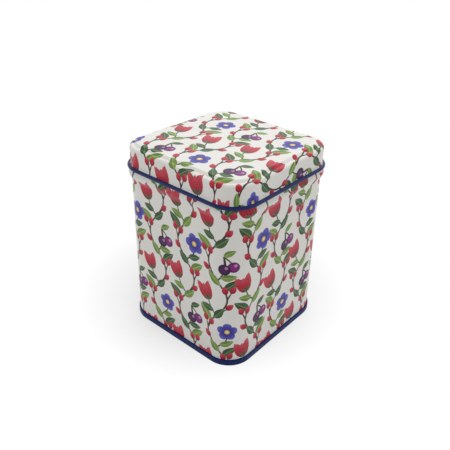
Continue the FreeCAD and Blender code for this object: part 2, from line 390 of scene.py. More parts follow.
class SheetLine:
    """The section of a bent sheet, drawn as the line of its printed face from edge to edge."""

    def __init__(self, corners: Sequence[tuple[float, float, float]], side: int) -> None:
        """Runs the line through its corners and rounds each one.

        Args:
            corners: For each corner its place out and up and the radius of its bend.
            side: 1 if the printed face is to the right of the line's run, -1 if to the left.
        """
        self.side = side
        self.stations: list[Station] = []
        self.marks: list[float] = []
        (out, up, _), (next_out, next_up, _) = corners[:2]
        self.heading = math.atan2(next_up - up, next_out - out)
        self.add(out, up)
        for (out, up, radius), (next_out, next_up, _) in zip(corners[1:], corners[2:]):
            leaving = math.atan2(next_up - up, next_out - out)
            turn = (leaving - self.heading + math.pi) % (2 * math.pi) - math.pi
            back = radius * math.tan(abs(turn) / 2)
            self.add(out - back * math.cos(self.heading), up - back * math.sin(self.heading))
            self.bend(radius, turn)
        self.add(*corners[-1][:2])

    def add(self, out: float, up: float) -> None:
        """Puts a station at the end of the line, facing to its printed side.

        Args:
            out: How far outside the wall's face.
            up: How high.
        """
        mark = 0.0
        if self.stations:
            last = self.stations[-1]
            step = math.hypot(out - last.out, up - last.up)
            if step < SECTION_NEAR:
                return
            mark = self.marks[-1] + step
        self.marks.append(mark)
        facing = self.heading - self.side * math.pi / 2
        self.stations.append(Station(out, up, math.cos(facing), math.sin(facing)))

    def bend(self, radius: float, turn: float) -> None:
        """Carries the line on round a bend.

        Args:
            radius: Radius of the bend on the printed face.
            turn: Angle of the bend in radians, positive to the left.
        """
        last, begin = self.stations[-1], self.heading
        lever = math.copysign(radius, turn)
        middle_out = last.out - lever * math.sin(begin)
        middle_up = last.up + lever * math.cos(begin)
        steps = max(2, math.ceil(abs(turn) / math.radians(BEND_STEP)))
        for step in range(1, steps + 1):
            self.heading = begin + turn * step / steps
            self.add(
                middle_out + lever * math.sin(self.heading), middle_up - lever * math.cos(self.heading),
            )

    def roll(self, radius: float, degrees: float) -> "SheetLine":
        """Rolls the sheet's edge away from its printed face and returns the line."""
        self.bend(radius, self.side * math.radians(degrees))
        return self

    def at(self, length: float) -> Station:
        """Finds the station at a length along the line.

        Args:
            length: Length from the line's beginning, held within the line.

        Returns:
            The station there, between its neighbours.
        """
        high = min(max(bisect.bisect_left(self.marks, length), 1), len(self.marks) - 1)
        low = high - 1
        share = (length - self.marks[low]) / (self.marks[high] - self.marks[low])
        share = min(max(share, 0.0), 1.0)
        pairs = zip(self.stations[low], self.stations[high])
        out, up, face_out, face_up = (a + (b - a) * share for a, b in pairs)
        size = math.hypot(face_out, face_up) or 1.0
        return Station(out, up, face_out / size, face_up / size)

    def mark(self, up: float) -> float:
        """Adds a station where the line first reaches a height.

        Args:
            up: The height.

        Returns:
            The length along the line of the new station.
        """
        for low, (a, b) in enumerate(zip(self.stations, self.stations[1:])):
            if min(a.up, b.up) < up < max(a.up, b.up):
                share = (up - a.up) / (b.up - a.up)
                length = self.marks[low] + share * (self.marks[low + 1] - self.marks[low])
                self.stations.insert(low + 1, self.at(length))
                self.marks.insert(low + 1, length)
                return length
        raise ValueError(f"the section does not pass the height {up}")


@dataclass
class Plan:
    """The wall's outer line from above: a square with round corners, walked from the side seam."""

    half: float = 36.25
    corner: float = 12.5
    seam_offset: float = 2.5
    corner_steps: int = 14

    @property
    def run(self) -> float:
        """Distance from the middle of a side to where its corner begins."""
        return self.half - self.corner

    @property
    def quarter(self) -> float:
        """Length of one side and one corner."""
        return 2 * self.run + self.corner * math.pi / 2

    @property
    def length(self) -> float:
        """Length once round."""
        return 4 * self.quarter

    def stops(self) -> list[float]:
        """Lists the walked lengths at which the line has a point.

        Returns:
            The lengths, without the line's two ends.
        """
        arc, found = self.corner * math.pi / 2, []
        for side in range(4):
            bend = self.seam_offset - self.run + side * self.quarter + 2 * self.run
            found += [bend + arc * k / self.corner_steps for k in range(self.corner_steps + 1)]
        return found

    def at(self, walked: float) -> tuple[float, float, float]:
        """Finds a place on the line.

        Args:
            walked: Length from the side seam, anticlockwise from above.

        Returns:
            The place in X and Y, and the direction it faces as an angle.
        """
        gone = (walked - self.seam_offset + self.run) % self.length
        side, rest = divmod(gone, self.quarter)
        facing = math.pi / 2 * (1 + side)
        face, way = (math.cos(facing), math.sin(facing)), (-math.sin(facing), math.cos(facing))
        if rest <= 2 * self.run:
            x, y = (f * self.half + w * (rest - self.run) for f, w in zip(face, way))
            return x, y, facing
        facing += (rest - 2 * self.run) / self.corner
        x, y = (f * self.run + w * self.run for f, w in zip(face, way))
        return x + self.corner * math.cos(facing), y + self.corner * math.sin(facing), facing


@dataclass
class Shape:
    """One printed shape: its outline on the flat sheet, its ink, and the frame its tones follow."""

    outline: list[Point]
    ink: Ink
    base: Point
    heading: float = 0.0
    length: float = 1.0
    half_width: float = 1.0
    curve: float = 0.0

    @property
    def area(self) -> float:
        """Area within the outline, negative if the outline runs clockwise."""
        turned = self.outline[1:] + self.outline[:1]
        return sum(a[0] * b[1] - a[1] * b[0] for a, b in zip(self.outline, turned)) / 2

    def inside(self, u: float, v: float) -> Point:
        """Tells where a place of the sheet lies within the shape.

        Args:
            u: Place along the sheet.
            v: Place up the sheet.

        Returns:
            The place across the shape, -1 to 1, and along it, 0 to 1.
        """
        du, dv = u - self.base[0], v - self.base[1]
        along = (du * math.cos(self.heading) + dv * math.sin(self.heading)) / self.length
        across = -du * math.sin(self.heading) + dv * math.cos(self.heading)
        return (across - self.curve * self.length * along * along) / self.half_width, along

    def enlarge(self, times: float) -> None:
        """Enlarges the shape with the whole sheet about the sheet's own zero.

        Args:
            times: How many times larger it becomes.
        """
        self.outline = [(u * times, v * times) for u, v in self.outline]
        self.base = (self.base[0] * times, self.base[1] * times)
        self.length *= times
        self.half_width *= times

    def move(self, du: float, dv: float) -> None:
        """Moves the shape on its sheet."""
        self.outline = [(u + du, v + dv) for u, v in self.outline]
        self.base = (self.base[0] + du, self.base[1] + dv)


class Layer(IntEnum):
    """The order in which the parts of the print lie over each other."""

    STEM = 0
    LEAF = 1
    BLOOM = 2
    HEART = 3


class Bloom(Enum):
    """What stands in the hollow of a wave."""

    TULIP = "tulip"
    FLOWER = "small flower"
    BERRIES = "pair of berries"


@dataclass
class TrailingVines:
    """A plain country design: waved stems side by side, with tulips, small flowers and berries.

    Each stem waves from side to side as it climbs. A bloom or a pair of berries stands in the hollow
    of every wave, and leaves and buds fill the rest. Lengths are those of the drawing, before it is
    enlarged for the sheet, and angles are in radians.
    """

    width: float
    height: float
    stems: int
    seed: int
    first_up: float = -6.0
    start_spread: float = 2.5
    stagger: float = 3.0
    wave: float = 34.0
    sway: float = 4.4
    stem_width: float = 0.75
    stalk_foot: float = 0.7
    stalk_head: float = 0.5
    wobble: float = 0.12
    enlarged: float = 1.15
    blooms: tuple[Bloom, ...] = (Bloom.TULIP, Bloom.FLOWER, Bloom.TULIP, Bloom.BERRIES)
    greens: tuple[Ink, Ink] = (LEAF_GREEN, MOSS_GREEN)
    layers: list[list[Shape]] = field(default_factory=lambda: [[] for _ in Layer])

    def draw(self) -> list[Shape]:
        """Draws the design at its drawn size, and enlarges it for the sheet.

        Returns:
            Its shapes in the order they are printed, stems first.
        """
        dice = random.Random(self.seed)
        spacing = self.width / self.enlarged / self.stems
        half_waves = math.ceil((self.height / self.enlarged - self.first_up) / (self.wave / 2)) + 1
        for stem in range(self.stems):
            middle = (stem + 0.5) * spacing
            start = self.first_up + dice.uniform(-self.start_spread, self.start_spread)
            start += (stem % 2) * self.stagger
            self.climb(middle, start, half_waves)
            for index in range(half_waves):
                side = 1 if index % 2 == 0 else -1
                v = start + (index + 0.5) * self.wave / 2
                bloom = self.blooms[(index + 2 * stem) % len(self.blooms)]
                greens = self.greens if (index + stem) % 2 == 0 else self.greens[::-1]
                self.hollow(dice, (middle, v), side, bloom, greens)
        shapes = [shape for layer in self.layers for shape in layer]
        for shape in shapes:
            shape.enlarge(self.enlarged)
        return shapes

    def climb(self, middle: float, start: float, half_waves: int) -> None:
        """Draws one waved stem from bottom to top, in short lengths.

        Args:
            middle: Middle line of the stem.
            start: Height at which it begins.
            half_waves: How many half waves it climbs.
        """
        lengths, steps = 3, 4
        parts = 2 * lengths
        for index in range(half_waves * lengths):
            low = start + index * self.wave / parts
            heights = [low + self.wave / parts * k / steps for k in range(steps + 1)]
            turns = [2 * math.pi * (v - start) / self.wave for v in heights]
            line = [(middle + self.sway * math.sin(turn), v) for turn, v in zip(turns, heights)]
            self.stroke(line, self.stem_width, self.stem_width)

    def hollow(
        self, dice: random.Random, centre: Point, side: int, bloom: Bloom, greens: tuple[Ink, Ink],
    ) -> None:
        """Fills one half wave of a stem: what stands in its hollow, and the leaves and buds round it.

        Args:
            dice: The seeded dice that vary the drawing.
            centre: Middle line of the stem, and height of the middle of the half wave.
            side: 1 where the stem swings right, -1 where it swings left.
            bloom: What stands in the hollow.
            greens: The greens of the leaves, the commoner one first.
        """
        middle, v = centre
        wobble = dice.uniform(-self.wobble, self.wobble)
        foot = (middle, v - self.wave / 4)

        def off_stem(aside: float, above: float) -> Point:
            """Gives a place in the hollow, aside from the stem's middle line and above the centre."""
            return middle - side * aside, v + above

        def on_stem(share: float) -> Point:
            """Gives a place on the stem, from -1 to 1 within the half wave."""
            return middle + side * self.sway * math.cos(math.pi / 2 * share), v + share * self.wave / 4

        def leaning(lean: float) -> float:
            """Gives the direction that leans from upright into the hollow by an angle."""
            return UPRIGHT + side * lean

        if bloom is Bloom.TULIP:
            base, heading = off_stem(4.3, -2.6), leaning(0.28 + wobble)
            self.stalk(foot, leaning(0.9), base, heading)
            self.tulip(base, heading, dice.uniform(8.6, 9.6))
        elif bloom is Bloom.FLOWER:
            head = off_stem(4.6, 0.8)
            self.stalk(foot, leaning(0.8), head, leaning(-0.2))
            self.small_flower(head, dice.uniform(4.3, 4.8), dice.uniform(0, 1.2))
        else:
            fork = off_stem(2.6, 3.4)
            self.stalk(foot, leaning(0.7), fork, leaning(-0.1))
            self.berry(fork, off_stem(6.6, -1.2), 2.45, MAGENTA)
            self.berry(fork, off_stem(2.9, -2.6), 2.55, PLUM)
            self.leaf(greens[0], fork, leaning(0.9), 5.6, 2.7, side * 0.12)
        times = dice.uniform(0.92, 1.1)
        by_foot = (middle - side * 1.4, foot[1] + 2.0)
        self.leaf(greens[0], on_stem(0.55), leaning(-0.75 - wobble), 8.0 * times, 3.9, -side * 0.10)
        self.leaf(greens[1], on_stem(0.80), leaning(0.85 + wobble), 7.0 * times, 3.5, -side * 0.10)
        self.leaf(greens[0], by_foot, leaning(1.45 + wobble), 6.2 * times, 3.2, -side * 0.12)
        for share, lean, reach in ((-0.85, 0.75, 3.6), (0.05, 0.35, 3.0), (0.05, -0.35, 2.2)):
            self.bud(on_stem(share), leaning(-lean - wobble), reach * times)

    def stroke(self, line: Sequence[Point], wide: float, narrow: float) -> None:
        """Draws a stem along a line.

        Args:
            line: The points that it follows.
            wide: Its width at the foot.
            narrow: Its width at the end.
        """
        left, right = [], []
        for index, (u, v) in enumerate(line):
            a, b = line[max(index - 1, 0)], line[min(index + 1, len(line) - 1)]
            way = math.atan2(b[1] - a[1], b[0] - a[0])
            half = (wide + (narrow - wide) * index / (len(line) - 1)) / 2
            left.append((u - half * math.sin(way), v + half * math.cos(way)))
            right.append((u + half * math.sin(way), v - half * math.cos(way)))
        self.layers[Layer.STEM].append(Shape(right + left[::-1], BARK, line[0]))

    def stalk(self, foot: Point, leaving: float, head: Point, arriving: float) -> None:
        """Draws a thin stalk in one smooth bend.

        Args:
            foot: Where it begins.
            leaving: The direction in which it leaves its foot.
            head: Where it ends.
            arriving: The direction in which it reaches its head.
        """
        steps = 8
        reach = 0.45 * math.dist(foot, head)
        pull = (foot[0] + reach * math.cos(leaving), foot[1] + reach * math.sin(leaving))
        push = (head[0] - reach * math.cos(arriving), head[1] - reach * math.sin(arriving))
        line = []
        for k in range(steps + 1):
            t = k / steps
            weights = ((1 - t) ** 3, 3 * t * (1 - t) ** 2, 3 * t * t * (1 - t), t ** 3)
            u, v = (sum(w * p[i] for w, p in zip(weights, (foot, pull, push, head))) for i in (0, 1))
            line.append((u, v))
        self.stroke(line, self.stalk_foot, self.stalk_head)

    def leaf(
        self, ink: Ink, base: Point, heading: float, length: float, width: float, curve: float = 0.0,
        layer: Layer = Layer.LEAF, belly: float = 0.85, full: float = 0.85,
    ) -> None:
        """Draws a leaf, or a petal of like form.

        Args:
            ink: Its ink.
            base: Where it begins.
            heading: Which way it points.
            length: Its length.
            width: Its greatest width.
            curve: How far its tip bends aside, as a share of its length.
            layer: Which layer it is printed in.
            belly: Below 1 it is widest near its base, above 1 near its tip.
            full: Smaller is rounder at the ends.
        """
        count = 8
        sides: tuple[list[Point], list[Point]] = ([], [])
        for k in range(count + 1):
            along = (1 - math.cos(math.pi * k / count)) / 2
            half = width / 2 * max(math.sin(math.pi * along ** belly), 0.0) ** full
            for way, points in zip((1, -1), sides):
                across = way * half + curve * length * along * along
                points.append((
                    base[0] + length * along * math.cos(heading) - across * math.sin(heading),
                    base[1] + length * along * math.sin(heading) + across * math.cos(heading),
                ))
        outline = sides[1] + sides[0][-2:0:-1]
        self.layers[layer].append(Shape(outline, ink, base, heading, length, width / 2, curve))

    def petal(
        self, ink: Ink, base: Point, heading: float, length: float, width: float, curve: float,
        belly: float, full: float,
    ) -> None:
        """Draws a petal: a leaf's form among the blooms, with its own belly and fullness."""
        self.leaf(ink, base, heading, length, width, curve, Layer.BLOOM, belly, full)

    def disc(self, layer: Layer, ink: Ink, centre: Point, radius: float, points: int) -> None:
        """Draws a round spot.

        Args:
            layer: Which layer it is printed in.
            ink: Its ink.
            centre: Its middle.
            radius: Its radius.
            points: How many points its outline has.
        """
        angles = [2 * math.pi * k / points for k in range(points)]
        outline = [(centre[0] + radius * math.cos(a), centre[1] + radius * math.sin(a)) for a in angles]
        self.layers[layer].append(Shape(outline, ink, centre, UPRIGHT, radius, radius))

    def tulip(self, base: Point, heading: float, length: float) -> None:
        """Draws a tulip from the side: petals behind, outer petals, one between, and small sepals.

        Args:
            base: Where its cup begins.
            heading: Which way it points.
            length: Length of its outer petals.
        """
        for way in (1, -1):
            lean = heading + way * 0.16
            self.petal(TULIP_CRIMSON, base, lean, length * 0.94, length * 0.34, way * 0.10, 0.8, 0.7)
        for way in (1, -1):
            lean = heading + way * 0.50
            self.petal(TULIP_RED, base, lean, length, length * 0.42, -way * 0.16, 0.75, 0.7)
        self.petal(TULIP_RED, base, heading, length * 0.82, length * 0.46, 0.0, 0.75, 0.65)
        for way in (1, -1):
            lean = heading + way * 0.75
            self.leaf(LEAF_GREEN, base, lean, length * 0.34, length * 0.14, -way * 0.1, Layer.HEART)

    def small_flower(self, centre: Point, reach: float, turn: float) -> None:
        """Draws a five-petal flower from the front, with a straw-yellow eye.

        Args:
            centre: Its middle.
            reach: Length of its petals.
            turn: Direction of its first petal.
        """
        petals = 5
        for petal in range(petals):
            heading = turn + petal * 2 * math.pi / petals
            self.petal(VIOLET, centre, heading, reach, reach * 0.86, 0.0, 1.35, 0.5)
        self.disc(Layer.HEART, STRAW, centre, reach * 0.27, 12)

    def bud(self, foot: Point, heading: float, reach: float) -> None:
        """Draws a closed red bud on a short stalk.

        Args:
            foot: Where its stalk begins.
            heading: Which way it points.
            reach: Length of its stalk.
        """
        head = (foot[0] + reach * math.cos(heading), foot[1] + reach * math.sin(heading))
        self.stalk(foot, heading, head, heading)
        self.petal(TULIP_RED, head, heading, 3.8, 2.7, 0.0, 0.8, 0.65)

    def berry(self, fork: Point, centre: Point, radius: float, ink: Ink) -> None:
        """Draws a round berry on a thin stalk.

        Args:
            fork: Where its stalk begins.
            centre: Its middle.
            radius: Its radius.
            ink: Its ink.
        """
        drop = math.atan2(centre[1] - fork[1], centre[0] - fork[0])
        self.stalk(fork, drop + 0.25, centre, drop - 0.35)
        self.disc(Layer.BLOOM, ink, centre, radius, 16)


class CutSheet(NamedTuple):
    """A flat sheet cut along its bend lines and printed shapes: points, triangles and top shapes."""

    points: list[Point]
    triangles: list[tuple[int, int, int]]
    tops: list[Shape | None]


def cut_flat(lines: Iterable[Sequence[Point]], shapes: Sequence[Shape]) -> CutSheet:
    """Cuts a flat sheet into triangles that keep every bend line and every printed outline.

    Args:
        lines: The sheet's outline and bend lines, each a chain of points.
        shapes: The printed shapes, in the order they are printed.

    Returns:
        The cut sheet, with the shape that is uppermost on each triangle.
    """
    points: list[Vector] = []
    edges: list[tuple[int, int]] = []
    faces: list[list[int]] = []
    for line in lines:
        first = len(points)
        points += [Vector(p) for p in line]
        edges += [(k, k + 1) for k in range(first, len(points) - 1)]
    for shape in shapes:
        first = len(points)
        points += [Vector(p) for p in shape.outline]
        faces.append(list(range(first, len(points))))
    flat, _, triangles, _, _, owners = delaunay_2d_cdt(points, edges, faces, 0, CUT_NEAR, True)
    tops = [shapes[max(owner)] if owner else None for owner in owners]
    return CutSheet([(p.x, p.y) for p in flat], [tuple(t) for t in triangles], tops)


def clipped(outline: list[Point], start: Point, end: Point) -> list[Point]:
    """Cuts off what lies to the right of a line.

    Args:
        outline: The outline to cut.
        start: Where the line begins.
        end: Where it ends.

    Returns:
        The part of the outline that lies to the left.
    """
    run, rise = end[0] - start[0], end[1] - start[1]
    sides = [run * (v - start[1]) - rise * (u - start[0]) for u, v in outline]
    if min(sides, default=0.0) >= 0:
        return outline
    kept = []
    for k, (p, here) in enumerate(zip(outline, sides)):
        n = (k + 1) % len(outline)
        q, there = outline[n], sides[n]
        if here >= 0:
            kept.append(p)
        if here * there < 0:
            share = here / (here - there)
            kept.append((p[0] + share * (q[0] - p[0]), p[1] + share * (q[1] - p[1])))
    return kept


def trimmed(shapes: Iterable[Shape], ring: Sequence[Point]) -> list[Shape]:
    """Trims printed shapes to the part of the sheet that lies within a convex ring.

    Args:
        shapes: The shapes, whose outlines are changed.
        ring: The ring's points, anticlockwise.

    Returns:
        The shapes that are left.
    """
    kept = []
    for shape in shapes:
        for start, end in zip(ring, [*ring[1:], ring[0]]):
            shape.outline = clipped(shape.outline, start, end)
        if len(shape.outline) > 2 and shape.area > LEAST_AREA:
            kept.append(shape)
    return kept


class SheetMesh:
    """Gathers the points and faces of a formed sheet and makes its object."""

    def __init__(self) -> None:
        """Starts with nothing in it."""
        self.places: list[Vector] = []
        self.facings: list[Vector] = []
        self.faces: list[Sequence[int]] = []
        self.finishes: list[Finish] = []
        self.shape_uv: list[float] = []
        self.sheet_uv: list[float] = []

    def point(self, formed: Formed) -> int:
        """Adds a point.

        Args:
            formed: Its place and the direction it faces.

        Returns:
            Its number.
        """
        self.places.append(formed[0] * MM)
        self.facings.append(formed[1])
        return len(self.places) - 1

    def face(
        self, corners: Sequence[int], finish: Finish, sheet_uv: Iterable[Point],
        shape_uv: Iterable[Point] | None = None,
    ) -> None:
        """Adds a face.

        Args:
            corners: Its points, anticlockwise as seen from outside.
            finish: What it is coated with.
            sheet_uv: Each corner's place on the flat sheet.
            shape_uv: Each corner's place within its printed shape, if it is printed.
        """
        self.faces.append(corners)
        self.finishes.append(finish)
        self.sheet_uv += [x for place in sheet_uv for x in place]
        self.shape_uv += [x for place in shape_uv or [(0.0, 0.0)] * len(corners) for x in place]

    def skin(self, rows: Sequence[list[int]], spots: Sequence[list[Point]], closed: bool = False) -> None:
        """Joins rows of points, each with the next, by faces of bare tinplate.

        Args:
            rows: The rows, whose points all run the same way.
            spots: Each point's place on the flat sheet.
            closed: Whether each row goes on from its last point to its first.
        """
        for low, high, low_spots, high_spots in zip(rows, rows[1:], spots, spots[1:]):
            for k in range(len(low) if closed else len(low) - 1):
                n = (k + 1) % len(low)
                ring = [low_spots[k], low_spots[n], high_spots[n], high_spots[k]]
                self.face([low[k], low[n], high[n], high[k]], TINPLATE, ring)

    def make(self, name: str, materials: dict[str, Material]) -> bpy.types.Object:
        """Makes the object, its seams closed and its points facing as the bent sheet does.

        Args:
            name: The piece's name.
            materials: The finishes' materials, by finish name.

        Returns:
            The finished object, at the origin.
        """
        mesh = bpy.data.meshes.new(name)
        mesh.from_pydata(self.places, [], self.faces)
        used = sorted({finish.name for finish in self.finishes})
        for finish in used:
            mesh.materials.append(materials[finish])
        mesh.polygons.foreach_set("material_index", [used.index(finish.name) for finish in self.finishes])
        mesh.polygons.foreach_set("use_smooth", [True] * len(self.faces))
        for layer, values in ((SHEET_MAP, self.sheet_uv), (SHAPE_MAP, self.shape_uv)):
            mesh.uv_layers.new(name=layer).data.foreach_set("uv", values)
        facing = mesh.attributes.new("facing", "FLOAT_VECTOR", "POINT")
        facing.data.foreach_set("vector", [x for vector in self.facings for x in vector])
        joined = bmesh.new()
        joined.from_mesh(mesh)
        bmesh.ops.remove_doubles(joined, verts=joined.verts, dist=FORMED_NEAR * MM)
        joined.to_mesh(mesh)
        joined.free()
        normals = [Vector(item.vector) for item in mesh.attributes["facing"].data]
        mesh.attributes.remove(mesh.attributes["facing"])
        mesh.normals_split_custom_set_from_vertices(normals)
        piece = bpy.data.objects.new(name, mesh)
        bpy.context.scene.collection.objects.link(piece)
        return piece


class PrintedSheet(ABC):
    """A sheet that is cut and printed flat, and then formed."""

    @abstractmethod
    def form(self, u: float, v: float, depth: float = 0.0) -> Formed:
        """Forms a place of the flat sheet, or one at a depth under it."""

    @abstractmethod
    def on_sheet(self, place: Point, centre: Point) -> Point:
        """Places a corner of a printed face, whose centre is given, on the flat sheet map."""

    @abstractmethod
    def coat_at(self, u: float, v: float, shape: Shape | None) -> Coat | Ink:
        """Tells what the sheet is coated with at a place, where a shape may be printed."""

    def printed_face(self, lines: Iterable[Sequence[Point]], shapes: Sequence[Shape]) -> SheetMesh:
        """Cuts the flat sheet, prints it and forms its printed face.

        Args:
            lines: The sheet's outline and bend lines, each a chain of points.
            shapes: The printed shapes, in the order they are printed.

        Returns:
            A mesh that holds the printed face.
        """
        cut = cut_flat(lines, shapes)
        mesh = SheetMesh()
        for place in cut.points:
            mesh.point(self.form(*place))
        for corners, shape in zip(cut.triangles, cut.tops):
            places = [cut.points[c] for c in corners]
            u, v = (sum(p[i] for p in places) / 3 for i in (0, 1))
            coat = self.coat_at(u, v, shape)
            spots = [shape.inside(*p) for p in places] if isinstance(coat, Ink) else None
            mesh.face(corners, coat, [self.on_sheet(p, (u, v)) for p in places], spots)
        return mesh


@dataclass
class PrintedBody(PrintedSheet):
    """The body: a printed strip with a hooked foot, a stop bead, a rolled top edge and a folded seam."""

    plan: Plan
    sheet: float = SHEET_THICKNESS
    hook_out: float = 0.28
    hook_top: float = 2.48
    hook_fold: float = 0.69
    hook_radius: float = 0.12
    crest_up: float = 83.65
    crest_radius: float = 0.8
    bead_depth: float = 1.45
    bead_slope: float = 25.0
    bead_foot_radius: float = 0.9
    bead_neck_radius: float = 0.35
    top_edge: float = 96.2
    roll_radius: float = 0.7
    roll_turn: float = 250.0
    stems: int = 14
    seed: int = 7
    border_top: float = 3.12
    print_top: float = 93.4
    print_bleed: float = 0.6
    print_start: float = 0.7
    seam_margin: float = 2.2
    tuck_width: float = 0.35
    tuck_depth: float = 0.15
    tuck_steps: int = 3
    fold_width: float = 5.0
    fold_start: float = 0.02
    fold_root: float = 0.19
    fold_bend: float = 0.16
    fold_map: float = 2.0
    map_margin: float = 0.01
    map_scale: float = 0.0045
    map_second_row: float = 0.505
    back_corner: Point = (0.735, 0.01)
    back_size: Point = (0.25, 0.97)

    def __post_init__(self) -> None:
        """Draws the section and finds where the border and the print end on it."""
        lean = math.radians(self.bead_slope)
        run = self.bead_depth - self.crest_radius * (1 - math.cos(lean))
        flank = self.crest_radius * math.sin(lean) + run / math.tan(lean)
        foot, neck = self.crest_up - flank, self.crest_up + flank
        rise = 1 / math.tan(lean)
        ridge = (neck - foot) / (2 * rise)
        self.line = SheetLine([
            (self.hook_out, self.hook_top, 0.0),
            (self.hook_out, self.hook_fold, self.hook_radius),
            (0.0, self.hook_fold, self.hook_radius),
            (0.0, foot, self.bead_foot_radius),
            (ridge, foot + ridge * rise, self.crest_radius),
            (0.0, neck, self.bead_neck_radius),
            (0.0, self.top_edge - self.roll_radius, 0.0),
        ], 1).roll(self.roll_radius, self.roll_turn)
        self.border = self.line.mark(self.border_top)
        self.printed = self.line.mark(self.print_top)
        ends = [self.tuck_width * k / self.tuck_steps for k in range(self.tuck_steps + 1)]
        ends.append(self.seam_margin)
        self.stops = sorted(ends + self.plan.stops() + [self.plan.length - end for end in ends])

    def form(self, u: float, v: float, depth: float = 0.0) -> Formed:
        """Bends a place of the flat strip to the tin.

        Args:
            u: Place along the strip, walked from the side seam.
            v: Place across the strip, from its foot.
            depth: How far under the printed face, 0 for the face itself.

        Returns:
            The place on the tin and the direction it faces.
        """
        station = self.line.at(v)
        x, y, facing = self.plan.at(u)
        out, up = station.out - depth * station.face_out, station.up - depth * station.face_up
        tilt, sign = 0.0, -1.0 if depth else 1.0
        from_seam = min(u, self.plan.length - u)
        if not depth and from_seam < self.tuck_width:
            share = 1 - from_seam / self.tuck_width
            out -= self.tuck_depth * share * share
            if from_seam > 0:
                tilt = math.atan(2 * self.tuck_depth * share / self.tuck_width)
                tilt *= 1 if u > from_seam else -1
        face = facing + tilt
        aside = station.face_out * math.cos(face), station.face_out * math.sin(face)
        return (
            Vector((x + out * math.cos(facing), y + out * math.sin(facing), up)),
            sign * Vector((*aside, station.face_up)),
        )

    @property
    def second_row(self) -> float:
        """Walked length at which the sheet map's second row begins, where the front wall does."""
        return 2 * self.plan.quarter - self.plan.run + self.plan.seam_offset

    def on_sheet(self, place: Point, centre: Point) -> Point:
        """Places the printed face on the flat sheet map, in two rows.

        Args:
            place: The corner's place on the flat strip.
            centre: The face's centre, which tells the row.

        Returns:
            The place on the map.
        """
        start, low = 0.0, self.map_margin
        if centre[0] >= self.second_row:
            start, low = self.second_row, self.map_second_row
        return self.map_margin + self.map_scale * (place[0] - start), low + self.map_scale * place[1]

    def on_back(self, walked: float, length: float) -> Point:
        """Places the bare inside on the flat sheet map."""
        (left, low), (wide, high) = self.back_corner, self.back_size
        return left + wide * length / self.line.marks[-1], low + high * walked / self.plan.length

    def coat_at(self, u: float, v: float, shape: Shape | None) -> Coat | Ink:
        """Tells what the printed face is coated with.

        Args:
            u: Place along the strip.
            v: Place across the strip.
            shape: The shape that is printed there, if any.

        Returns:
            The coat or the ink.
        """
        if v < self.border:
            return NAVY
        bare = v > self.printed or not self.seam_margin < u < self.plan.length - self.seam_margin
        return ENAMEL if bare or shape is None else shape.ink

    def build(self, materials: dict[str, Material]) -> bpy.types.Object:
        """Cuts, prints and bends the strip, and adds its bare inside and the fold of its seam.

        Args:
            materials: The finishes' materials, by finish name.

        Returns:
            The body's object.
        """
        marks, stops = self.line.marks, self.stops
        vines = TrailingVines(self.plan.length, self.printed, self.stems, self.seed)
        low, high = self.border - self.print_bleed, self.printed + self.print_bleed
        left, right = self.print_start, self.plan.length - self.print_start
        shapes = trimmed(vines.draw(), [(left, low), (right, low), (right, high), (left, high)])
        lines = [[(s, t) for s in stops] for t in marks] + [[(s, t) for t in marks] for s in stops]
        mesh = self.printed_face(lines, shapes)
        self.line_inside(mesh)
        self.fold_seam(mesh)
        return mesh.make("body_printed_strip", materials)

    def line_inside(self, mesh: SheetMesh) -> None:
        """Adds the bare inner face of the strip and its two cut edges.

        Args:
            mesh: The body's mesh.
        """
        marks = self.line.marks
        inner = [[mesh.point(self.form(s, t, self.sheet)) for t in marks] for s in self.stops]
        spots = [[self.on_back(s, t) for t in marks] for s in self.stops]
        mesh.skin(inner, spots)
        for end, way in ((0, 1), (-1, -1)):
            inner_edge = [column[end] for column in inner]
            outer_edge = [mesh.point(self.form(s, marks[end])) for s in self.stops]
            mesh.skin([inner_edge, outer_edge][::way], [[column[end] for column in spots]] * 2)

    def fold_seam(self, mesh: SheetMesh) -> None:
        """Adds the folded layers of the side seam, which lie flat against the inside of the wall.

        Args:
            mesh: The body's mesh.
        """
        near, far, bend, deep = self.fold_start, self.fold_width, self.fold_bend, 3 * self.sheet
        # For each corner its place along the strip, its depth, and how far it faces aside
        profile = (
            (near, self.fold_root, -1.0), (near, deep - bend, -0.7), (bend, deep, -0.1),
            (far - bend, deep, 0.1), (far, deep - bend, 0.7), (far, self.fold_root, 1.0),
        )
        marks = [t for t in self.line.marks if self.border < t < self.printed]
        columns = []
        for walked, depth, lean in profile:
            formed = [self.form(walked, t, depth) for t in marks]
            aside = Vector((-lean, 0, 0))
            columns.append([
                mesh.point((place, (inward * (1 - abs(lean)) + aside).normalized()))
                for place, inward in formed
            ])
        spots = [[self.on_back(self.fold_map + k, t) for t in marks] for k in (0, 1)]
        for pair in zip(columns, columns[1:] + columns[:1]):
            mesh.skin(pair, spots)
        for end, way in ((0, 1), (-1, -1)):
            ring = [column[end] for column in columns][::way]
            ring_spots = [self.on_back(self.fold_map + k, marks[end]) for k in range(len(ring))]
            mesh.face(ring, TINPLATE, ring_spots)

    def dress(self, piece: bpy.types.Object) -> None:
        """Puts the piece on its body in place of the CAD node.

        Args:
            piece: The piece.
        """
        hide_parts("body_shell")
        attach(piece, "tin")


